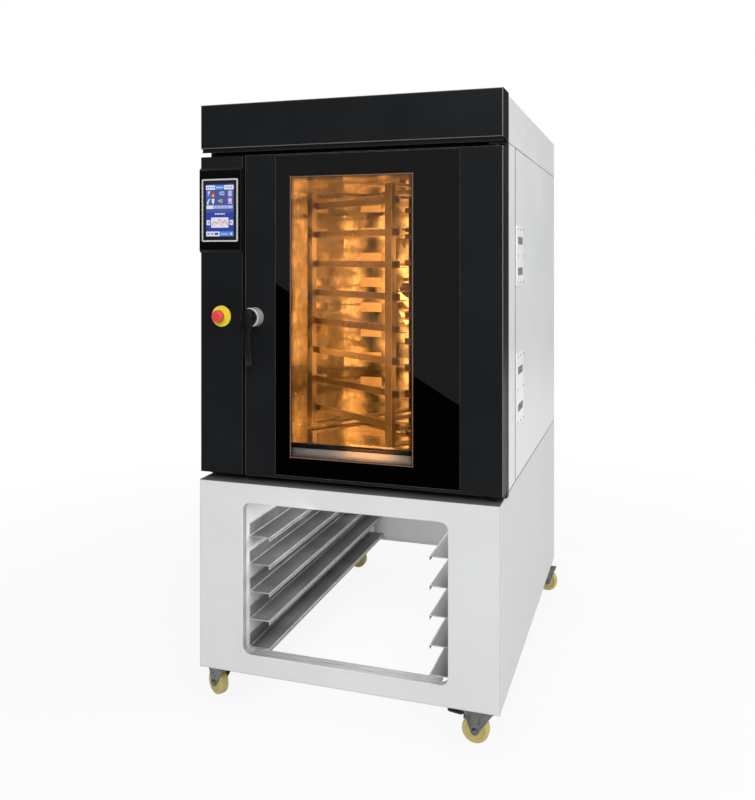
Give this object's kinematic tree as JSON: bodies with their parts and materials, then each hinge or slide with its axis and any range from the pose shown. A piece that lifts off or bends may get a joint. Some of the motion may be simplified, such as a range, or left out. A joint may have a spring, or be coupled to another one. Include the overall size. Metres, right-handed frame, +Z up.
{
  "type": "bakery convection oven",
  "caption": "Upright bakery convection oven with a windowed door, turning tray rack, touch control column and a wheeled tray stand beneath.",
  "frame": {"origin": "on the floor under the middle of the bounding box", "axes": "+X to the right seen from the front, +Y from the door to the rear, +Z up"},
  "size_m": [0.9856, 1.4034, 1.888],
  "materials": {
    "light_grey_sheet": "satin powder coat",
    "black_coated_sheet": "satin powder coat",
    "stainless_sheet": "polished stainless",
    "runner_steel": "brushed stainless",
    "zinc_steel": "zinc plated",
    "amber_polyurethane": "semi gloss",
    "black_plastic": "moulded",
    "yellow_plastic": "moulded",
    "red_plastic": "moulded",
    "silver_trim": "anodised",
    "display_glass": "lit touch display",
    "black_glass": "toughened, screen printed edge",
    "clear_glass": "toughened",
    "seal_rubber": "silicone",
    "chrome_trim": "polished",
    "motor_paint": "painted casting",
    "heater_sheath": "oxidised sheath",
    "lamp_housing": "pressed"
  },
  "bodies": {
    "cabinet": {"stand_front_panel": "light_grey_sheet", "stand_side_panels": "light_grey_sheet", "stand_rear_panel": "light_grey_sheet", "stand_top_panel": "black_coated_sheet", "stand_inner_walls": "light_grey_sheet", "caster_rails": "runner_steel", "tray_runners_left": "runner_steel", "tray_runners_right": "runner_steel", "caster_plates": "zinc_steel", "base_panel": "stainless_sheet", "right_side_panels": "light_grey_sheet", "left_side_panels": "light_grey_sheet", "rear_panel": "light_grey_sheet", "cable_gland": "black_plastic", "front_frame": "black_coated_sheet", "latch_keeper": "zinc_steel", "hood_shell": "light_grey_sheet", "hood_fascia": "black_coated_sheet", "control_column": "black_coated_sheet", "screen_housing": "black_plastic", "screen_bezel": "silver_trim", "display_glass": "display_glass", "stop_plate": "yellow_plastic", "lamp_covers": "light_grey_sheet", "chamber_floor": "stainless_sheet", "chamber_ceiling": "stainless_sheet", "chamber_side_walls": "stainless_sheet", "chamber_baffle": "stainless_sheet", "chamber_rear_wall": "stainless_sheet", "chamber_supports": "stainless_sheet", "chamber_lamps": "lamp_housing", "temperature_probe": "zinc_steel", "fan_motor": "motor_paint", "heating_element": "heater_sheath", "rack_gearmotor": "motor_paint", "hinge_brackets": "black_coated_sheet"},
    "door": {"door_frame": "black_coated_sheet", "door_outer_glass": "black_glass", "door_inner_frame": "stainless_sheet", "door_inner_glass": "clear_glass", "door_gasket": "seal_rubber", "handle_rose": "chrome_trim"},
    "handle": {"handle_lever": "black_plastic", "latch_tongue": "zinc_steel"},
    "rack": {"rack_posts": "stainless_sheet", "rack_frames": "stainless_sheet", "rack_runners_near": "stainless_sheet", "rack_runners_far": "stainless_sheet"},
    "fan": {"fan_impeller": "stainless_sheet"},
    "stop_plunger": {"stop_plunger": "red_plastic"},
    "stop_head": {"stop_head": "red_plastic"},
    "brake_pedal": {"brake_pedal": "black_plastic"},
    "caster_front_left": {"caster_fork_front_left": "zinc_steel"},
    "wheel_front_left": {"caster_wheel_front_left": "amber_polyurethane"},
    "caster_front_right": {"caster_fork_front_right": "zinc_steel"},
    "wheel_front_right": {"caster_wheel_front_right": "amber_polyurethane"},
    "caster_rear_left": {"caster_fork_rear_left": "zinc_steel"},
    "wheel_rear_left": {"caster_wheel_rear_left": "amber_polyurethane"},
    "caster_rear_right": {"caster_fork_rear_right": "zinc_steel"},
    "wheel_rear_right": {"caster_wheel_rear_right": "amber_polyurethane"}
  },
  "joints": [
    {"name": "door_swing", "type": "hinge", "parent": "cabinet", "child": "door", "pos_m": [0.46, -0.6193, 0.728], "axis": [0, 0, 1], "range_deg": [0, 120]},
    {"name": "handle_turn", "type": "hinge", "parent": "door", "child": "handle", "pos_m": [-0.292, -0.6393, 1.221], "axis": [0, -1, 0], "range_deg": [0, 90]},
    {"name": "rack_spin", "type": "hinge", "parent": "cabinet", "child": "rack", "pos_m": [0.045, -0.15475, 0.808], "axis": [0, 0, 1], "continuous": true},
    {"name": "fan_spin", "type": "hinge", "parent": "cabinet", "child": "fan", "pos_m": [0.045, 0.4727, 1.23], "axis": [0, 1, 0], "continuous": true},
    {"name": "stop_push", "type": "slide", "parent": "cabinet", "child": "stop_plunger", "axis": [0, 1, 0], "range_m": [0, 0.005]},
    {"name": "stop_twist", "type": "hinge", "parent": "stop_plunger", "child": "stop_head", "pos_m": [-0.408, -0.6553, 1.221], "axis": [0, -1, 0], "range_deg": [-45, 0]},
    {"name": "swivel_front_left", "type": "hinge", "parent": "cabinet", "child": "caster_front_left", "pos_m": [-0.425, -0.5933, 0.1], "axis": [0, 0, 1], "continuous": true},
    {"name": "roll_front_left", "type": "hinge", "parent": "caster_front_left", "child": "wheel_front_left", "pos_m": [-0.45098, -0.5783, 0.04], "axis": [-0.5, -0.866, 0], "continuous": true},
    {"name": "swivel_front_right", "type": "hinge", "parent": "cabinet", "child": "caster_front_right", "pos_m": [0.425, -0.5933, 0.1], "axis": [0, 0, 1], "continuous": true},
    {"name": "roll_front_right", "type": "hinge", "parent": "caster_front_right", "child": "wheel_front_right", "pos_m": [0.395, -0.5933, 0.04], "axis": [0, -1, 0], "continuous": true},
    {"name": "swivel_rear_left", "type": "hinge", "parent": "cabinet", "child": "caster_rear_left", "pos_m": [-0.425, 0.6177, 0.1], "axis": [0, 0, 1], "continuous": true},
    {"name": "roll_rear_left", "type": "hinge", "parent": "caster_rear_left", "child": "wheel_rear_left", "pos_m": [-0.395, 0.6177, 0.04], "axis": [0, 1, 0], "continuous": true},
    {"name": "swivel_rear_right", "type": "hinge", "parent": "cabinet", "child": "caster_rear_right", "pos_m": [0.425, 0.6177, 0.1], "axis": [0, 0, 1], "continuous": true},
    {"name": "roll_rear_right", "type": "hinge", "parent": "caster_rear_right", "child": "wheel_rear_right", "pos_m": [0.455, 0.6177, 0.04], "axis": [0, 1, 0], "continuous": true},
    {"name": "brake_press", "type": "hinge", "parent": "caster_front_right", "child": "brake_pedal", "pos_m": [0.373, -0.5933, 0.0835], "axis": [0, -1, 0], "range_deg": [0, 8]}
  ]
}
